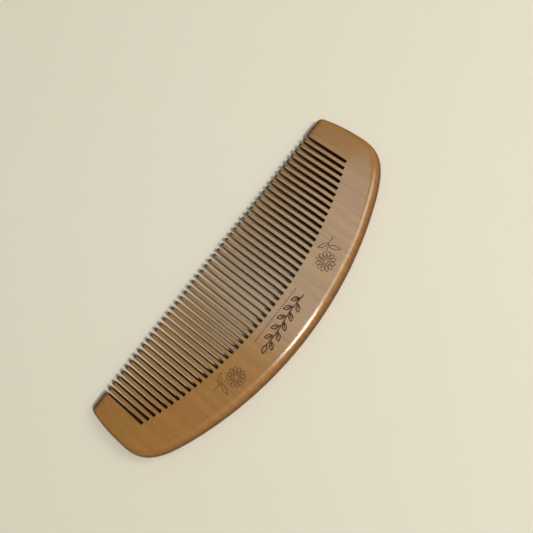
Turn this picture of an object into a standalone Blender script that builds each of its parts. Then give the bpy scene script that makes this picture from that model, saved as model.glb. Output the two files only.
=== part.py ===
"""Arched-back wooden hair comb, sawn out of one flat board.

The comb lies on its face. +X runs along it, +Y points from the tooth tips to the
arched back and +Z is up. The origin is under the middle of its bounding box.
Every length is in metres.
"""

import math

import bmesh
import bpy

# The board that the comb is cut from
LENGTH = 0.180  # over the widest part of the two end guards
WIDTH = 0.0611  # from the tooth tips to the top of the arch
THICKNESS = 0.009  # of the back, face to face
EDGE_RADIUS = 0.004  # of the rounding all round the board's rim

# Its outline
BACK_RADIUS = 0.182  # of the arch
BACK_HALF_SPAN = 0.069  # where the arch turns into the shoulder
WAIST_HEIGHT = 0.020  # of the comb's widest points, above the tips
GUARD_TIP_INSET = 0.0017  # how far a guard's side has leant in at its corner
GUARD_CORNER = 0.0026  # corner radius of a guard's tip
ARCH_PULL = 0.0244  # the shoulder's curve handle along the arch
WAIST_PULL = 0.0112  # and its handle up the side

# The faces thin down towards the tips
TAPER_HEIGHT = 0.027  # where the thinning starts, above the tips
TIP_THICKNESS = 0.0044

# The teeth
TOOTH_COUNT = 48
PITCH = 0.003175
SLOT_WIDTH = 0.00155  # between two teeth
ROOT_HEIGHT = 0.0412  # of the middle slot's end, above the tips
ROOT_RADIUS = 0.195  # of the arc that the slots end on

GAP = 0.0003  # between touching pieces
MARGIN = 0.010  # how far a cutter passes the board
CURVE_STEPS = 9  # straight pieces in each stretch of the outline
ROOT_ARC_SIDES = 288  # straight pieces in the whole circle of the root arc
QUARTER_PULL = 0.55  # curve handle of a quarter circle, in radii

# Worked out from those
TIP_LINE = -WIDTH / 2
TOOTH_WIDTH = PITCH - SLOT_WIDTH
GUARD_START = (TOOTH_COUNT * PITCH + SLOT_WIDTH) / 2
ROOT_ARC_CENTRE = TIP_LINE + ROOT_HEIGHT - ROOT_RADIUS
TAPER_ANGLE = math.atan2((THICKNESS - TIP_THICKNESS) / 2, TAPER_HEIGHT)

WOOD = (0.42, 0.20, 0.075)
TOOTH_WOOD = (0.50, 0.26, 0.11)


def clear_scene():
    for obj in list(bpy.data.objects):
        bpy.data.objects.remove(obj, do_unlink=True)


def new_collection(name):
    collection = bpy.data.collections.new(name)
    bpy.context.scene.collection.children.link(collection)
    return collection


def add_object(name, mesh, collection):
    obj = bpy.data.objects.new(name, mesh)
    collection.objects.link(obj)
    return obj


def add_cutter(name, mesh, collection):
    obj = add_object(name, mesh, collection)
    obj.display_type = "WIRE"
    obj.hide_render = True
    return obj


def wood(name, colour):
    material = bpy.data.materials.new(name + "_wood")
    material.use_nodes = True
    shader = material.node_tree.nodes["Principled BSDF"]
    shader.inputs["Base Color"].default_value = (*colour, 1)
    shader.inputs["Roughness"].default_value = 0.35
    shader.inputs["Metallic"].default_value = 0
    return material


def boolean(obj, cutter, operation):
    modifier = obj.modifiers.new(cutter.name, "BOOLEAN")
    modifier.operation = operation
    modifier.solver = "EXACT"
    modifier.object = cutter


def box_mesh(name, low, high):
    mesh = bpy.data.meshes.new(name)
    shape = bmesh.new()
    bmesh.ops.create_cube(shape, size=1)
    for vertex in shape.verts:
        for axis in range(3):
            middle = (low[axis] + high[axis]) / 2
            vertex.co[axis] = middle + vertex.co[axis] * (high[axis] - low[axis])
    shape.to_mesh(mesh)
    shape.free()
    return mesh


def disc_mesh(name, radius, centre_y):
    """A disc round an upright axis, passing both faces of the board."""
    mesh = bpy.data.meshes.new(name)
    shape = bmesh.new()
    bmesh.ops.create_cone(
        shape,
        cap_ends=True,
        segments=ROOT_ARC_SIDES,
        radius1=radius,
        radius2=radius,
        depth=THICKNESS + 2 * MARGIN,
    )
    bmesh.ops.translate(shape, verts=shape.verts, vec=(0, centre_y, THICKNESS / 2))
    shape.to_mesh(mesh)
    shape.free()
    return mesh


def plate_mesh(name, knots, thickness, rounding):
    """A closed solid from a flat outline of (point, handle before, handle after)."""
    curve = bpy.data.curves.new(name, "CURVE")
    curve.dimensions = "2D"
    curve.fill_mode = "BOTH"
    curve.extrude = thickness / 2 - rounding
    curve.bevel_depth = rounding
    curve.bevel_resolution = 2
    curve.offset = -rounding
    curve.resolution_u = CURVE_STEPS
    spline = curve.splines.new("BEZIER")
    spline.bezier_points.add(len(knots) - 1)
    spline.use_cyclic_u = True
    for point, (place, before, after) in zip(spline.bezier_points, knots):
        point.co = (*place, 0)
        point.handle_left = (*before, 0)
        point.handle_right = (*after, 0)

    obj = bpy.data.objects.new(name, curve)
    bpy.context.scene.collection.objects.link(obj)
    bpy.context.view_layer.update()
    evaluated = obj.evaluated_get(bpy.context.evaluated_depsgraph_get())
    mesh = bpy.data.meshes.new_from_object(evaluated)
    bpy.data.objects.remove(obj, do_unlink=True)
    bpy.data.curves.remove(curve)

    shape = bmesh.new()
    shape.from_mesh(mesh)
    bmesh.ops.remove_doubles(shape, verts=shape.verts, dist=1e-6)
    bmesh.ops.translate(shape, verts=shape.verts, vec=(0, 0, THICKNESS / 2))
    bmesh.ops.recalc_face_normals(shape, faces=shape.faces)
    shape.to_mesh(mesh)
    shape.free()
    return mesh


def moved(place, direction, distance):
    return (place[0] + direction[0] * distance, place[1] + direction[1] * distance)


def straight(place):
    """A knot whose handles lie on it, so that its neighbours meet it in a corner."""
    return (place, place, place)


def board_knots():
    """The comb's outline, from the top of the arch down its right side and back up."""
    top = WIDTH / 2
    turn = math.asin(BACK_HALF_SPAN / BACK_RADIUS)
    pull = 4 / 3 * math.tan(turn / 4) * BACK_RADIUS
    apex = ((0, top), (-pull, top), (pull, top))
    arch_end = (BACK_HALF_SPAN, top - BACK_RADIUS * (1 - math.cos(turn)))
    arch_way = (math.cos(turn), -math.sin(turn))

    waist = (LENGTH / 2, TIP_LINE + WAIST_HEIGHT)
    side_height = WAIST_HEIGHT - GUARD_CORNER
    side_end = (LENGTH / 2 - GUARD_TIP_INSET, TIP_LINE + GUARD_CORNER)
    lean = math.atan2(2 * GUARD_TIP_INSET, side_height)
    side_way = (-math.sin(lean), -math.cos(lean))
    tip_end = (side_end[0] - GUARD_CORNER, TIP_LINE)

    right = [
        (arch_end, moved(arch_end, arch_way, -pull), moved(arch_end, arch_way, ARCH_PULL)),
        (waist, moved(waist, (0, 1), WAIST_PULL), moved(waist, (0, -1), side_height / 3)),
        (
            side_end,
            moved(side_end, side_way, -side_height / 3),
            moved(side_end, side_way, GUARD_CORNER / 2),
        ),
        (tip_end, moved(tip_end, (1, 0), GUARD_CORNER / 2), tip_end),
    ]
    left = [
        ((-x, y), (-after[0], after[1]), (-before[0], before[1]))
        for (x, y), before, after in reversed(right)
    ]
    return [apex, *right, *left]


def tooth_knots(x):
    """A tooth in plan, from its root end to its half-round tip."""
    root_y = TIP_LINE + ROOT_HEIGHT + MARGIN
    half = TOOTH_WIDTH / 2
    round_start = TIP_LINE + half
    pull = QUARTER_PULL * half
    right = (x + half, round_start)
    left = (x - half, round_start)
    return [
        straight((x - half, root_y)),
        straight((x + half, root_y)),
        (right, right, moved(right, (0, -1), pull)),
        ((x, TIP_LINE), (x + pull, TIP_LINE), (x - pull, TIP_LINE)),
        (left, moved(left, (0, -1), pull), left),
    ]


def taper_cutter(name, side, collection):
    """What the thinning takes off one face: side is 1 for the top, -1 for the bottom."""
    reach = LENGTH / 2 + MARGIN
    low, high = sorted((0, side * WIDTH))
    mesh = box_mesh(name, (-reach, -WIDTH, low), (reach, MARGIN, high))
    cutter = add_cutter(name, mesh, collection)
    cutter.location = (0, TIP_LINE + TAPER_HEIGHT, THICKNESS / 2 * (1 + side))
    cutter.rotation_euler = (side * TAPER_ANGLE, 0, 0)
    return cutter


def make_back(board, tapers, below_roots, collection):
    """The solid arched part of the board, above the arc that the slots end on."""
    back = add_object("back", board, collection)
    for taper in tapers:
        boolean(back, taper, "DIFFERENCE")
    boolean(back, below_roots, "DIFFERENCE")
    back.data.materials.append(wood(back.name, WOOD))


def make_guard(name, side, blank, tooth_zone, collection):
    """The wide uncut end of the board beside the outermost slot."""
    inner, outer = side * GUARD_START, side * (LENGTH / 2 + MARGIN)
    low = (min(inner, outer), TIP_LINE - MARGIN, -MARGIN)
    high = (max(inner, outer), WIDTH / 2, THICKNESS + MARGIN)
    guard = add_object(name, box_mesh(name, low, high), collection)
    boolean(guard, blank, "INTERSECT")
    boolean(guard, tooth_zone, "INTERSECT")
    guard.data.materials.append(wood(name, WOOD))


def make_tooth(number, blank, tooth_zone, collection):
    name = f"tooth_{number:02d}"
    x = (number - (TOOTH_COUNT + 1) / 2) * PITCH
    tooth = add_object(name, plate_mesh(name, tooth_knots(x), THICKNESS + MARGIN, 0), collection)
    boolean(tooth, blank, "INTERSECT")
    boolean(tooth, tooth_zone, "INTERSECT")
    tooth.data.materials.append(wood(name, TOOTH_WOOD))


def build():
    clear_scene()
    comb = new_collection("hair_comb")
    cutters = new_collection("cutters")

    board = plate_mesh("board", board_knots(), THICKNESS, EDGE_RADIUS)
    blank = add_cutter("blank", board, cutters)
    tapers = [taper_cutter("taper_top", 1, cutters), taper_cutter("taper_bottom", -1, cutters)]
    for taper in tapers:
        boolean(blank, taper, "DIFFERENCE")
    root_disc = disc_mesh("below_roots", ROOT_RADIUS, ROOT_ARC_CENTRE)
    below_roots = add_cutter("below_roots", root_disc, cutters)
    tooth_disc = disc_mesh("tooth_zone", ROOT_RADIUS - GAP, ROOT_ARC_CENTRE)
    tooth_zone = add_cutter("tooth_zone", tooth_disc, cutters)

    make_back(board.copy(), tapers, below_roots, comb)
    make_guard("guard_left", -1, blank, tooth_zone, comb)
    make_guard("guard_right", 1, blank, tooth_zone, comb)
    for number in range(1, TOOTH_COUNT + 1):
        make_tooth(number, blank, tooth_zone, comb)


build()
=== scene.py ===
"""Looks of the wooden hair comb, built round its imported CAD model.

The real comb is one board, so the back, the guards and the teeth made here meet with no
gap, and they share one wood material that runs on from piece to piece. Each stands for
the CAD node of the same name. Lengths are in metres.
"""

import math

import bmesh
import bpy
import numpy as np
from mathutils import Matrix, Vector


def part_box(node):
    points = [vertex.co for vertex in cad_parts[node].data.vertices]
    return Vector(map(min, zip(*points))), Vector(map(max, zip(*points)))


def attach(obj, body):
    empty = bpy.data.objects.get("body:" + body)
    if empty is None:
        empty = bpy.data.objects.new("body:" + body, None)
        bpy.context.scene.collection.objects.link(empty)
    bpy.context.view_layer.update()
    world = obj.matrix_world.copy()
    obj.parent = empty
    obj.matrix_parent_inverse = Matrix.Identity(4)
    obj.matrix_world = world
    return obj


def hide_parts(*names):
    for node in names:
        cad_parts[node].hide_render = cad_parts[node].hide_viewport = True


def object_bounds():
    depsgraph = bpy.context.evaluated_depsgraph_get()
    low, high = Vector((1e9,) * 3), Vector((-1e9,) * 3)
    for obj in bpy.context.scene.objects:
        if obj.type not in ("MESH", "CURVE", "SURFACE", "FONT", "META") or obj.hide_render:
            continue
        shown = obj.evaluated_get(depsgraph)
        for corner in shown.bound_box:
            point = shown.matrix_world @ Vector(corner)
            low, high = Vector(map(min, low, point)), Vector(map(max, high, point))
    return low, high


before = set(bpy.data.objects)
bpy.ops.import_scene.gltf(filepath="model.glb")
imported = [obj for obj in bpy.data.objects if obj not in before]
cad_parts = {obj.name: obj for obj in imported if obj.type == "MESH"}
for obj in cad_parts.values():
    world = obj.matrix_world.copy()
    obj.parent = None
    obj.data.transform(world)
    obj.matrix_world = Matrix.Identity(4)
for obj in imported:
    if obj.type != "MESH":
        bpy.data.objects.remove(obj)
cad_low, cad_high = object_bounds()

MM = 0.001

# Sizes read from the frame
LENGTH = cad_high.x - cad_low.x
WIDTH = cad_high.y - cad_low.y
THICKNESS = cad_high.z - cad_low.z
MIDDLE = (cad_high.z + cad_low.z) / 2
TIP_LINE = cad_low.y
GUARD_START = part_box("guard_right")[0].x
TOOTH_NODES = sorted(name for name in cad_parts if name.startswith("tooth_"))
TOOTH_COUNT = len(TOOTH_NODES)

# The comb's design, as in its CAD
BACK_RADIUS = 182 * MM
BACK_HALF_SPAN = 69 * MM
WAIST_HEIGHT = 20 * MM
GUARD_TIP_INSET = 1.7 * MM
GUARD_CORNER = 2.6 * MM
ARCH_PULL = 24.4 * MM
WAIST_PULL = 11.2 * MM
TAPER_HEIGHT = 27 * MM
TIP_THICKNESS = 4.4 * MM
PITCH = 3.175 * MM
ROOT_HEIGHT = 41.2 * MM
ROOT_RADIUS = 195 * MM

# Finer shape than the CAD holds
TAPER_EASE = 1.2 * MM  # how softly the flat face turns into the thinning one
RIM_RADIUS = 4 * MM  # rounding of the rim round the back
TIP_RIM_RADIUS = 1.9 * MM  # and at the tips, where the board is thin
RIM_SWELLS = (20 * MM, 42 * MM)  # the rim grows between these heights above the tips
TIP_EDGE = 0.24 * MM  # rounding along a tooth's four edges, at its tip
ROOT_EDGE = 0.10 * MM  # and at its root
TOOTH_NOSE = 1.9 * MM  # how far from its end a tooth's faces round over
TOOTH_POINT = 1.05 * MM  # how far from its end a tooth's sides round over
NOSE_BLUNT = 0.3  # a tooth's thickness at its very end, as a share of the full one
POINT_BLUNT = 0.25  # and its width
FINE_GROOVE = 0.18 * MM  # radius of the engraver's tool for the flowers
BOLD_GROOVE = 0.30 * MM  # and for the twig and the dashes
GROOVE_RISE = 0.03 * MM  # the tool's centre above the face
CELL_CORNER = 1.2 * MM  # rounding of a guard's tip beside the outermost slot
SAWN_AND_SHADED_FACING = 0.8  # a tooth's faces that look along X at least this much are sawn and take the slots' painted shade

# How finely curves are divided
ARCH_STEPS = 110
SHOULDER_STEPS = 48
SIDE_STEPS = 24
CORNER_STEPS = 12
RIM_STEPS = 10
CELL_STEPS = 8
NOSE_STEPS = 9
EDGE_STEPS = 4
RING_POINTS = 14
STEM_POINTS = 30
LEAF_STEPS = 12
TAPER_CUTS = [TAPER_HEIGHT + step * MM for step in range(-5, 6)]  # heights above the tips

SLOT_WIDTH = 2 * GUARD_START - TOOTH_COUNT * PITCH
TAPER_SLOPE = (THICKNESS - TIP_THICKNESS) / 2 / TAPER_HEIGHT
CLEAR = 10 * MM  # how far a cutter passes the board
TOUCHING = 0.0001 * MM  # vertices this close are one
SHARP_FROM = math.radians(35)  # an edge that turns by more than this stays sharp


def half_thickness(y):
    """Half the board's thickness, which shrinks from the taper line to the tips."""
    drop = (TAPER_HEIGHT - (y - TIP_LINE)) / TAPER_EASE
    return THICKNESS / 2 - TAPER_SLOPE * TAPER_EASE * np.logaddexp(0, drop)


def slot_x(number):
    """Slot 0 is the one beside the left guard."""
    return (number - TOOTH_COUNT / 2) * PITCH


def slot_end(number):
    """The height above the tip line at which a slot ends, on the root arc."""
    return ROOT_HEIGHT - ROOT_RADIUS + math.sqrt(ROOT_RADIUS**2 - slot_x(number) ** 2)


# Mesh helpers


def new_object(name, mesh):
    obj = bpy.data.objects.new(name, mesh)
    bpy.context.scene.collection.objects.link(obj)
    return obj


def mesh_from(shape, name):
    """Turns a bmesh into a mesh, with every face pointing out."""
    bmesh.ops.recalc_face_normals(shape, faces=shape.faces)
    mesh = bpy.data.meshes.new(name)
    shape.to_mesh(mesh)
    shape.free()
    return mesh


def evaluated_mesh(obj):
    bpy.context.view_layer.update()
    return bpy.data.meshes.new_from_object(
        obj.evaluated_get(bpy.context.evaluated_depsgraph_get())
    )


def skin(shape, near, far):
    """Quads between two closed rings of as many vertices."""
    for i in range(len(near)):
        j = (i + 1) % len(near)
        shape.faces.new((near[i], near[j], far[j], far[i]))


def prism(name, plan):
    """A closed solid on a plan of points, passing both faces of the board."""
    shape = bmesh.new()
    floor = [shape.verts.new((x, y, cad_low.z - CLEAR)) for x, y in plan]
    roof = [shape.verts.new((x, y, cad_high.z + CLEAR)) for x, y in plan]
    shape.faces.new(floor)
    shape.faces.new(roof)
    skin(shape, floor, roof)
    return new_object(name, mesh_from(shape, name))


def carve(obj, cutter, operation, material):
    """Applies a Boolean and removes its cutter, whose faces keep the given material."""
    cutter.data.materials.append(material)
    modifier = obj.modifiers.new("carve", "BOOLEAN")
    modifier.operation = operation
    modifier.solver = "EXACT"
    modifier.use_self = True
    modifier.material_mode = "TRANSFER"
    modifier.object = cutter
    mesh = evaluated_mesh(obj)
    obj.modifiers.clear()
    obj.data = mesh
    bpy.data.objects.remove(cutter, do_unlink=True)


def finish_piece(obj, node):
    """Smooth round surfaces, flat faces kept flat, and the piece's place in the frame."""
    obj.data.shade_smooth()
    obj.data.set_sharp_from_angle(angle=SHARP_FROM)
    weighted = obj.modifiers.new("flat_faces", "WEIGHTED_NORMAL")
    weighted.mode = "FACE_AREA"
    weighted.keep_sharp = True
    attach(obj, "root")
    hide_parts(node)


# The board


def bezier(start, pull_out, pull_in, end, steps):
    """Points of a cubic curve from start up to, but not including, end."""
    t = np.arange(steps)[:, None] / steps
    weights = ((1 - t) ** 3, 3 * (1 - t) ** 2 * t, 3 * (1 - t) * t**2, t**3)
    return sum(w * np.asarray(p) for w, p in zip(weights, (start, pull_out, pull_in, end)))


def outline():
    """The comb's plan, anticlockwise."""
    top = TIP_LINE + WIDTH
    turn = math.asin(BACK_HALF_SPAN / BACK_RADIUS)
    arch_turns = np.linspace(0, turn, ARCH_STEPS, endpoint=False)
    arch = np.stack([np.sin(arch_turns), np.cos(arch_turns) - 1], axis=1) * BACK_RADIUS
    arch_end = np.array([BACK_HALF_SPAN, top - BACK_RADIUS * (1 - math.cos(turn))])
    arch_way = np.array([math.cos(turn), -math.sin(turn)])

    waist = np.array([LENGTH / 2, TIP_LINE + WAIST_HEIGHT])
    side_height = WAIST_HEIGHT - GUARD_CORNER
    side_end = np.array([LENGTH / 2 - GUARD_TIP_INSET, TIP_LINE + GUARD_CORNER])
    lean = math.atan2(2 * GUARD_TIP_INSET, side_height)
    side_way = np.array([-math.sin(lean), -math.cos(lean)])
    tip_end = np.array([side_end[0] - GUARD_CORNER, TIP_LINE])
    up = np.array([0, 1])
    out = np.array([1, 0])

    shoulder_out = arch_end + arch_way * ARCH_PULL
    shoulder_in = waist + up * WAIST_PULL
    shoulder = bezier(arch_end, shoulder_out, shoulder_in, waist, SHOULDER_STEPS)
    side_out = waist - up * side_height / 3
    side_in = side_end - side_way * side_height / 3
    side = bezier(waist, side_out, side_in, side_end, SIDE_STEPS)
    corner_out = side_end + side_way * GUARD_CORNER / 2
    corner_in = tip_end + out * GUARD_CORNER / 2
    corner = bezier(side_end, corner_out, corner_in, tip_end, CORNER_STEPS)

    right = np.concatenate([arch + [0, top], shoulder, side, corner, [tip_end]])
    left = right[1:][::-1] * [-1, 1]
    return np.concatenate([right, left])[::-1]


def smoothstep(low, high, value):
    share = np.clip((value - low) / (high - low), 0, 1)
    return share**2 * (3 - 2 * share)


def board_mesh():
    """The whole board with its round rim and thinning faces, before it is sawn."""
    plan = outline()
    along = np.roll(plan, -1, axis=0) - np.roll(plan, 1, axis=0)
    along /= np.linalg.norm(along, axis=1)[:, None]
    inward = np.stack([-along[:, 1], along[:, 0]], axis=1)
    back_share = smoothstep(*RIM_SWELLS, plan[:, 1] - TIP_LINE)
    radius = TIP_RIM_RADIUS + (RIM_RADIUS - TIP_RIM_RADIUS) * back_share

    shape = bmesh.new()
    rings = []
    for side in (-1, 1):
        for step in range(RIM_STEPS + 1):
            turn = math.pi / 2 * step / RIM_STEPS
            place = plan + inward * (radius * (1 - math.cos(turn)))[:, None]
            height = half_thickness(place[:, 1]) - radius * (1 - math.sin(turn))
            ring = np.column_stack([place, MIDDLE + side * height])
            rings.append([shape.verts.new(vertex) for vertex in ring.tolist()])
    underside, upper = rings[: RIM_STEPS + 1], rings[RIM_STEPS + 1 :]
    stack = underside[::-1] + upper
    for below, above in zip(stack, stack[1:]):
        skin(shape, below, above)
    faces = [shape.faces.new(stack[0]), shape.faces.new(stack[-1])]

    for height in TAPER_CUTS:
        line = (0, TIP_LINE + height, 0)
        parts = {part for face in faces for part in (*face.verts, *face.edges, face)}
        cut = bmesh.ops.bisect_plane(
            shape, geom=list(parts), plane_co=line, plane_no=(0, 1, 0), dist=TOUCHING
        )
        faces = [part for part in cut["geom"] if isinstance(part, bmesh.types.BMFace)]
        for vertex in {vertex for face in faces for vertex in face.verts}:
            side = math.copysign(1, vertex.co.z - MIDDLE)
            vertex.co.z = MIDDLE + side * float(half_thickness(vertex.co.y))
    return mesh_from(shape, "board")


# The back


def below_the_back():
    """Plan of what lies below the back: a stair that steps at the side of each slot."""
    half_slot = SLOT_WIDTH / 2
    ends = [TIP_LINE + slot_end(number) for number in range(TOOTH_COUNT + 1)]
    stair = [(cad_low.x - CLEAR, ends[0])]
    for number, (here, there) in enumerate(zip(ends, ends[1:])):
        if there > here:
            x = slot_x(number + 1) - half_slot
        else:
            x = slot_x(number) + half_slot
        stair += [(x, here), (x, there)]
    stair.append((cad_high.x + CLEAR, ends[-1]))
    low = TIP_LINE - CLEAR
    return [(cad_low.x - CLEAR, low), *stair, (cad_high.x + CLEAR, low)]


def ring_path(radius):
    turns = np.linspace(0, 2 * math.pi, RING_POINTS, endpoint=False)
    return radius * np.stack([np.cos(turns), np.sin(turns)], axis=1)


def leaf_path(root, tip, half_width, fullest=0.5):
    """A leaf's outline, which is fullest at that share of the way to its tip."""
    root = np.asarray(root, float)
    along = np.asarray(tip, float) - root
    across = np.array([-along[1], along[0]]) / np.linalg.norm(along)
    share = np.linspace(0, 1, LEAF_STEPS + 1)[:, None]
    bulge = half_width * np.sin(math.pi * share ** (math.log(0.5) / math.log(fullest)))
    one_side = root + along * share + across * bulge
    other_side = root + along * share - across * bulge
    return np.concatenate([one_side, other_side[-2:0:-1]])


def daisy(side):
    """Strokes of the flower at the right (1) or left (-1) end of the back."""
    petals, eye, petal_start, petal_end, petal_half_width = 12, 1.1, 1.4, 4.8, 0.72
    loops = [ring_path(eye * MM)]
    for number in range(petals):
        turn = 2 * math.pi * (number + 0.5) / petals
        way = np.array([math.cos(turn), math.sin(turn)]) * MM
        petal = leaf_path(way * petal_start, way * petal_end, petal_half_width * MM, 0.66)
        loops.append(petal)
    upper_leaf = np.array([(6.4, -3.9), (8.4, 2.2)]) * MM
    lower_leaf = np.array([(7.6, -4.3), (2.8, -7.2)]) * MM
    loops += [leaf_path(*upper_leaf, 0.85 * MM), leaf_path(*lower_leaf, 0.75 * MM)]
    stem = np.array([(3.9, -2.5), (6.0, -3.9), (9.0, -4.6), (11.8, -4.2)]) * MM

    strokes = [(loop, True) for loop in loops] + [(bezier(*stem, LEAF_STEPS), False)]
    centre = np.array([33, 17]) * MM
    flip = np.array([side, 1])
    return [((path + centre) * flip, closed) for path, closed in strokes]


def stem_point(x):
    """The twig's gently waving stem."""
    return np.stack([x, 18.6 * MM + 0.6 * MM * np.sin(x / (5 * MM))], axis=-1)


def twig():
    """Strokes of the leafy twig along the middle of the back."""
    stem = stem_point(np.linspace(-15, 13, STEM_POINTS) * MM)
    end_leaf = leaf_path(stem[-1], np.array([17.4, 19.8]) * MM, 0.95 * MM)
    strokes = [(stem, False), (end_leaf, True)]
    leaves, first, spacing = 10, -13.2, 2.6
    for number in range(leaves):
        side = 1 if number % 2 else -1
        foot = stem_point((first + number * spacing) * MM)
        start = foot + np.array([0.5, 0.6 * side]) * MM
        tip = start + np.array([3.0, 2.6 * side]) * MM
        strokes.append((leaf_path(start, tip, 0.9 * MM), True))
        strokes.append((np.stack([foot, start + (tip - start) * 0.6]), False))
    return strokes


def dotted_line():
    """Strokes of the row of short dashes between the twig and the slots."""
    dashes, first, spacing, length, y = 28, -15 * MM, 1.1 * MM, 0.5 * MM, 13.6 * MM
    starts = [np.array([first + number * spacing, y]) for number in range(dashes)]
    return [(np.stack([start, start + [length, 0]]), False) for start in starts]


def engraving(strokes, radius):
    """A cutter for grooves: round tubes along the strokes, about half sunk in the face."""
    curve = bpy.data.curves.new("engraving", "CURVE")
    curve.dimensions = "3D"
    curve.bevel_depth = 1
    curve.bevel_resolution = 1
    curve.use_fill_caps = True
    z = cad_high.z + GROOVE_RISE
    for path, closed in strokes:
        spline = curve.splines.new("POLY")
        spline.points.add(len(path) - 1)
        spline.use_cyclic_u = closed
        for point, (x, y) in zip(spline.points, path):
            point.co = (x, y, z, 1)
            point.radius = radius
    obj = new_object("engraving", curve)
    shape = bmesh.new()
    shape.from_mesh(evaluated_mesh(obj))
    bpy.data.objects.remove(obj, do_unlink=True)
    bmesh.ops.remove_doubles(shape, verts=shape.verts, dist=TOUCHING)
    return new_object("grooves", mesh_from(shape, "grooves"))


def make_back(board, wood, sawn_and_shaded, scorched, burnt):
    back = new_object("comb_back", board.copy())
    back.data.materials.append(wood)
    flowers = daisy(1) + daisy(-1)
    middle = twig() + dotted_line()
    carve(back, prism("below", below_the_back()), "DIFFERENCE", sawn_and_shaded)
    carve(back, engraving(flowers, FINE_GROOVE), "DIFFERENCE", scorched)
    carve(back, engraving(middle, BOLD_GROOVE), "DIFFERENCE", burnt)
    finish_piece(back, "back")


# The guards and the teeth


def make_guard(name, side, board, wood, sawn_and_shaded):
    """The wide end of the board beside the outermost slot."""
    guard = new_object(f"comb_{name}", board.copy())
    guard.data.materials.append(wood)
    inner, outer = side * GUARD_START, side * (LENGTH / 2 + CLEAR)
    low, high = TIP_LINE - CLEAR, TIP_LINE + slot_end(0)
    plan = [(outer, low), (outer, high), (inner, high)]
    for step in range(CELL_STEPS + 1):
        turn = math.pi / 2 * step / CELL_STEPS
        x = inner + side * CELL_CORNER * (1 - math.cos(turn))
        plan.append((x, TIP_LINE + CELL_CORNER * (1 - math.sin(turn))))
    plan.append((inner + side * CELL_CORNER, low))
    carve(guard, prism("guard_cell", plan), "INTERSECT", sawn_and_shaded)
    finish_piece(guard, name)


def tooth_ring(shape, x, y, half_width, half_height, edge):
    """A rounded rectangle across a tooth."""
    widest = 0.98  # an edge's rounding stops just short of the middle of a side
    edge = min(edge, half_width * widest, half_height * widest)
    ring = []
    for quarter, (side, face) in enumerate(((1, 1), (-1, 1), (-1, -1), (1, -1))):
        centre_x = x + side * (half_width - edge)
        centre_z = MIDDLE + face * (half_height - edge)
        for step in range(EDGE_STEPS + 1):
            turn = math.pi / 2 * (quarter + step / EDGE_STEPS)
            place = (centre_x + edge * math.cos(turn), y, centre_z + edge * math.sin(turn))
            ring.append(shape.verts.new(place))
    return ring


def rounded_end(height, length, blunt):
    """How full a tooth is at a height, from its blunt end (a share) to all of it."""
    share = min(height / length, 1)
    return blunt + (1 - blunt) * math.sqrt(1 - (1 - share) ** 2)


def make_tooth(number, name, wood, sawn_and_shaded):
    """The tooth between slots number and number + 1, from its tip up to the back."""
    x = (slot_x(number) + slot_x(number + 1)) / 2
    root = min(slot_end(number), slot_end(number + 1))
    turns = [math.pi / 2 * step / NOSE_STEPS for step in range(NOSE_STEPS + 1)]
    nose = [TOOTH_NOSE * (1 - math.cos(turn)) for turn in turns]
    between = (8 * MM, 15 * MM)
    heights = [h for h in (*nose, *between, *TAPER_CUTS) if h < root - 0.2 * MM]

    shape = bmesh.new()
    rings = []
    for height in (*heights, root):
        share = height / root
        half_width = (PITCH - SLOT_WIDTH) / 2 * rounded_end(height, TOOTH_POINT, POINT_BLUNT)
        half_height = float(half_thickness(TIP_LINE + height))
        half_height *= rounded_end(height, TOOTH_NOSE, NOSE_BLUNT)
        edge = TIP_EDGE + (ROOT_EDGE - TIP_EDGE) * share
        rings.append(tooth_ring(shape, x, TIP_LINE + height, half_width, half_height, edge))
    for near, far in zip(rings, rings[1:]):
        skin(shape, near, far)
    shape.faces.new(rings[0])
    shape.faces.new(rings[-1])
    tooth = new_object(f"comb_{name}", mesh_from(shape, name))
    tooth.data.materials.append(wood)
    tooth.data.materials.append(sawn_and_shaded)
    for face in tooth.data.polygons:
        face.material_index = int(abs(face.normal.x) > SAWN_AND_SHADED_FACING)
    finish_piece(tooth, name)


# Materials


class Graph:
    """Short ways to add and join a material's nodes."""

    def __init__(self, name):
        self.material = bpy.data.materials.new(name)
        self.material.use_nodes = True
        self.tree = self.material.node_tree
        self.shader = self.tree.nodes["Principled BSDF"]

    def put(self, socket, value):
        if isinstance(value, bpy.types.NodeSocket):
            self.tree.links.new(value, socket)
        else:
            socket.default_value = value

    def add(self, kind, inputs, **settings):
        node = self.tree.nodes.new(kind)
        for key, value in settings.items():
            setattr(node, key, value)
        for key, value in inputs.items():
            self.put(node.inputs[key], value)
        return node

    def math(self, operation, first, second=0.0):
        node = self.add("ShaderNodeMath", {0: first, 1: second}, operation=operation)
        return node.outputs[0]

    def vector(self, operation, first, second):
        node = self.add("ShaderNodeVectorMath", {0: first, 1: second}, operation=operation)
        return node.outputs[0]

    def step(self, value, low, high, to_low=0.0, to_high=1.0):
        """A smooth step from to_low, at low and below, to to_high, at high and above."""
        inputs = {"Value": value, 1: low, 2: high, 3: to_low, 4: to_high}
        node = self.add("ShaderNodeMapRange", inputs, interpolation_type="SMOOTHSTEP")
        return node.outputs[0]

    def noise(self, place, per_metre, detail=3.0, roughness=0.5):
        """Noise with its own number of features in a metre along each axis."""
        scaled = self.vector("MULTIPLY", place, per_metre)
        inputs = {"Vector": scaled, "Scale": 1, "Detail": detail, "Roughness": roughness}
        return self.add("ShaderNodeTexNoise", inputs).outputs["Fac"]

    def mix(self, share, first, second):
        """Mixes two colours. The node's colour sockets are its 7th and 8th inputs."""
        node = self.add("ShaderNodeMix", {}, data_type="RGBA")
        for index, value in {0: share, 6: first, 7: second}.items():
            self.put(node.inputs[index], value)
        return node.outputs[2]


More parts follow.
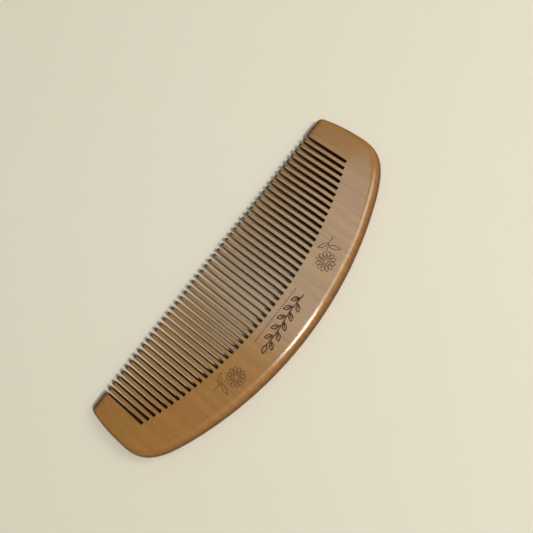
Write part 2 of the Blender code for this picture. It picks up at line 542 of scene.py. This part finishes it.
def grain(graph, place):
    """The wood's colour, its grain along the teeth, and the relief of its fibres."""
    drift = graph.math("MULTIPLY", graph.noise(place, (16, 9, 40), 2), 12 * MM)
    wander = graph.add("ShaderNodeCombineXYZ", {"X": drift}).outputs[0]
    bands = graph.noise(graph.vector("ADD", place, wander), (420, 9, 160), 4, 0.6)
    fibres = graph.noise(place, (1900, 45, 1900), 3, 0.6)
    pores = graph.noise(place, (3800, 260, 3800), 1)
    mottle = graph.noise(place, (30, 22, 60), 2)

    pale = (0.350, 0.162, 0.024, 1)
    brown = (0.250, 0.106, 0.0135, 1)
    red = (0.290, 0.114, 0.016, 1)
    colour = graph.mix(graph.step(bands, 0.30, 0.74, 0.15, 0.85), pale, brown)
    colour = graph.mix(graph.step(mottle, 0.40, 0.75, 0, 0.35), colour, red)
    colour = graph.vector("MULTIPLY", colour, graph.step(fibres, 0.30, 0.72, 1.06, 0.90))
    colour = graph.vector("MULTIPLY", colour, graph.step(pores, 0.60, 0.74, 1, 0.80))
    return colour, graph.math("ADD", fibres, pores)


def wood_material():
    """Oiled and polished wood. Its tips and round rim are darker: painted shade where they turn
    from the light, and partly the extra oil they drink.
    """
    white = (1, 1, 1, 1)
    graph = Graph("oiled_wood")
    coordinates = graph.add("ShaderNodeTexCoord", {}).outputs
    place = coordinates["Object"]
    height = graph.add("ShaderNodeSeparateXYZ", {0: place}).outputs["Y"]
    facing = graph.add("ShaderNodeSeparateXYZ", {0: coordinates["Normal"]}).outputs["Z"]
    colour, relief = grain(graph, place)

    # Painted shade, with some real oil darkening: the wood darkens over the last 4.5 mm towards
    # the tips, for the shade of their rounded ends and their contact shadow.
    tip_oil_and_shade = graph.step(height, TIP_LINE, TIP_LINE + 4.5 * MM, 0.72, 1)
    colour = graph.vector("MULTIPLY", colour, tip_oil_and_shade)
    # More painted shade at the very tips: a darker brown cap from 0.6 to 3 mm.
    inside = graph.step(height, TIP_LINE + 0.6 * MM, TIP_LINE + 3.0 * MM)
    tip_oil_and_shade_tint = graph.mix(inside, (0.38, 0.27, 0.25, 1), white)
    colour = graph.vector("MULTIPLY", colour, tip_oil_and_shade_tint)
    # Painted shade on the rim, with a little darker oiled edge: the wood darkens where its
    # surface tilts away from facing up.
    flat = graph.step(graph.math("ABSOLUTE", facing), 0.20, 0.80)
    rim_shade_tint = graph.mix(flat, (0.60, 0.42, 0.32, 1), white)
    colour = graph.vector("MULTIPLY", colour, rim_shade_tint)
    bump = {"Strength": 0.18, "Distance": 0.03 * MM, "Height": relief}

    inputs = graph.shader.inputs
    graph.put(inputs["Base Color"], colour)
    graph.put(inputs["Roughness"], graph.step(relief, 0.6, 1.4, 0.42, 0.52))
    graph.put(inputs["Normal"], graph.add("ShaderNodeBump", bump).outputs[0])
    inputs["Specular IOR Level"].default_value = 0.25
    inputs["Coat Weight"].default_value = 0.8
    inputs["Coat Roughness"].default_value = 0.15
    return graph.material


def sawn_and_shaded_material():
    """The walls between the teeth: rough sawn wood with no polish on it, darkened by painted
    shade of the deep narrow slots.
    """
    graph = Graph("sawn_and_shaded_wood")
    place = graph.add("ShaderNodeTexCoord", {}).outputs["Object"]
    colour, relief = grain(graph, place)
    # Painted shade: the walls' wood colour is darkened for the shade that fills the deep, narrow
    # slots.
    shade = (0.46, 0.36, 0.30)
    colour = graph.vector("MULTIPLY", colour, shade)
    saw_marks = graph.noise(place, (300, 2600, 90), 2)
    rough = graph.math("ADD", relief, saw_marks)
    bump = {"Strength": 0.3, "Distance": 0.04 * MM, "Height": rough}

    inputs = graph.shader.inputs
    graph.put(inputs["Base Color"], colour)
    graph.put(inputs["Roughness"], graph.step(saw_marks, 0.3, 0.7, 0.80, 0.95))
    graph.put(inputs["Normal"], graph.add("ShaderNodeBump", bump).outputs[0])
    inputs["Specular IOR Level"].default_value = 0.12
    return graph.material


def burnt_material(name, brown, char):
    """The scorched floor of engraved grooves, patchy between two colours."""
    graph = Graph(name)
    place = graph.add("ShaderNodeTexCoord", {}).outputs["Object"]
    patches = graph.step(graph.noise(place, (900, 500, 900), 4), 0.3, 0.7)
    colour = graph.mix(patches, brown, char)
    graph.put(graph.shader.inputs["Base Color"], colour)
    graph.put(graph.shader.inputs["Roughness"], graph.step(patches, 0, 1, 0.6, 0.85))
    graph.shader.inputs["Specular IOR Level"].default_value = 0.2
    return graph.material


def floor_material():
    graph = Graph("pale_floor")
    place = graph.add("ShaderNodeTexCoord", {}).outputs["Object"]
    cloud = graph.noise(place, (3, 3, 3), 2)
    colour = graph.mix(cloud, (0.72, 0.66, 0.51, 1), (0.75, 0.69, 0.55, 1))
    graph.put(graph.shader.inputs["Base Color"], colour)
    graph.shader.inputs["Roughness"].default_value = 0.7
    return graph.material


def backdrop_material():
    graph = Graph("pale_backdrop")
    inputs = graph.shader.inputs
    inputs["Base Color"].default_value = (0, 0, 0, 1)
    inputs["Emission Color"].default_value = (0.76, 0.71, 0.58, 1)
    inputs["Emission Strength"].default_value = 1.0
    return graph.material


# The studio

STUDIO_RADIUS = 3.0
STUDIO_SIDES = 96
FLOOR_GAP = 0.05 * MM  # between the comb and the floor


def add_floor():
    shape = bmesh.new()
    bmesh.ops.create_circle(
        shape, cap_ends=True, segments=STUDIO_SIDES, radius=STUDIO_RADIUS
    )
    floor = new_object("floor", mesh_from(shape, "floor"))
    floor.data.materials.append(floor_material())
    floor.location.z = cad_low.z - FLOOR_GAP
    floor.visible_glossy = False


def add_backdrop():
    """A pale wall right round the floor, which neither lights nor shades anything."""
    shape = bmesh.new()
    bmesh.ops.create_cone(
        shape,
        cap_ends=False,
        segments=STUDIO_SIDES,
        radius1=STUDIO_RADIUS,
        radius2=STUDIO_RADIUS,
        depth=STUDIO_RADIUS,
    )
    wall = new_object("backdrop", mesh_from(shape, "backdrop"))
    wall.data.materials.append(backdrop_material())
    wall.location.z = STUDIO_RADIUS / 2
    wall.visible_diffuse = False
    wall.visible_glossy = False
    wall.visible_shadow = False


def look_at(obj, place, aim, roll=0.0):
    obj.location = place
    level = (Vector(aim) - Vector(place)).to_track_quat("-Z", "Y").to_matrix()
    obj.rotation_euler = (level @ Matrix.Rotation(roll, 3, "Z")).to_euler()


def add_softbox(name, place, size, power):
    """A rectangular area light that shines straight down until it is aimed."""
    data = bpy.data.lights.new(name, "AREA")
    data.shape = "RECTANGLE"
    data.size, data.size_y = size
    data.energy = power
    light = new_object(name, data)
    light.location = place
    return light


def add_key():
    """The main light, from over the arch and a little to its -X side."""
    data = bpy.data.lights.new("key", "SUN")
    data.energy = 2.03
    data.angle = math.radians(8)
    key = new_object("key", data)
    key.visible_glossy = False
    look_at(key, (-0.11, 0.66, 1.0), (0, 0, 0))


def add_lights():
    """The key, a fill from the -X side, and boxes that only the polish shows."""
    add_key()
    fill = add_softbox("fill", (-0.46, 0.42, 0.62), (0.40, 0.45), 2.4)
    shine = add_softbox("shine", (-0.025, 0.62, 0.91), (0.22, 0.66), 11.0)
    rim_sheen = add_softbox("rim_sheen", (-0.36, 0.42, 0.75), (0.45, 0.55), 1.8)
    sheen = add_softbox("sheen", (-0.093, -0.025, 0.60), (0.23, 0.75), 2.0)
    sheen_end = add_softbox("sheen_end", (-0.165, -0.10, 0.60), (0.10, 0.60), 1.35)
    cool = (0.60, 0.88, 1.0)
    for light in (fill, shine, rim_sheen):
        look_at(light, light.location, (0, 0, cad_high.z))
    for light in (shine, rim_sheen, sheen, sheen_end):
        light.visible_diffuse = False
    for light in (rim_sheen, sheen, sheen_end):
        light.data.color = cool
    world = bpy.data.worlds.new("studio")
    world.use_nodes = True
    sky = world.node_tree.nodes["Background"]
    sky.inputs["Color"].default_value = (1.0, 0.98, 0.93, 1)
    sky.inputs["Strength"].default_value = 0.22
    bpy.context.scene.world = world
    bpy.context.scene.view_settings.view_transform = "Standard"


def add_camera():
    camera = bpy.data.cameras.new("camera")
    camera.lens = 57.4
    camera.sensor_width = 36
    camera.clip_start = 0.01
    obj = new_object("camera", camera)
    place = (5.0 * MM, 132.0 * MM, 375.1 * MM)
    aim = (-15.1 * MM, -4.1 * MM, cad_high.z)
    look_at(obj, place, aim, math.radians(-44.26))
    bpy.context.scene.camera = obj


def build():
    wood, sawn_and_shaded = wood_material(), sawn_and_shaded_material()
    scorched = burnt_material("scorched_wood", (0.120, 0.054, 0.018, 1), (0.070, 0.031, 0.012, 1))
    burnt = burnt_material("burnt_wood", (0.095, 0.038, 0.013, 1), (0.045, 0.018, 0.008, 1))
    board = board_mesh()
    make_back(board, wood, sawn_and_shaded, scorched, burnt)
    make_guard("guard_left", -1, board, wood, sawn_and_shaded)
    make_guard("guard_right", 1, board, wood, sawn_and_shaded)
    for number, name in enumerate(TOOTH_NODES):
        make_tooth(number, name, wood, sawn_and_shaded)
    add_floor()
    add_backdrop()
    add_lights()
    add_camera()


build()
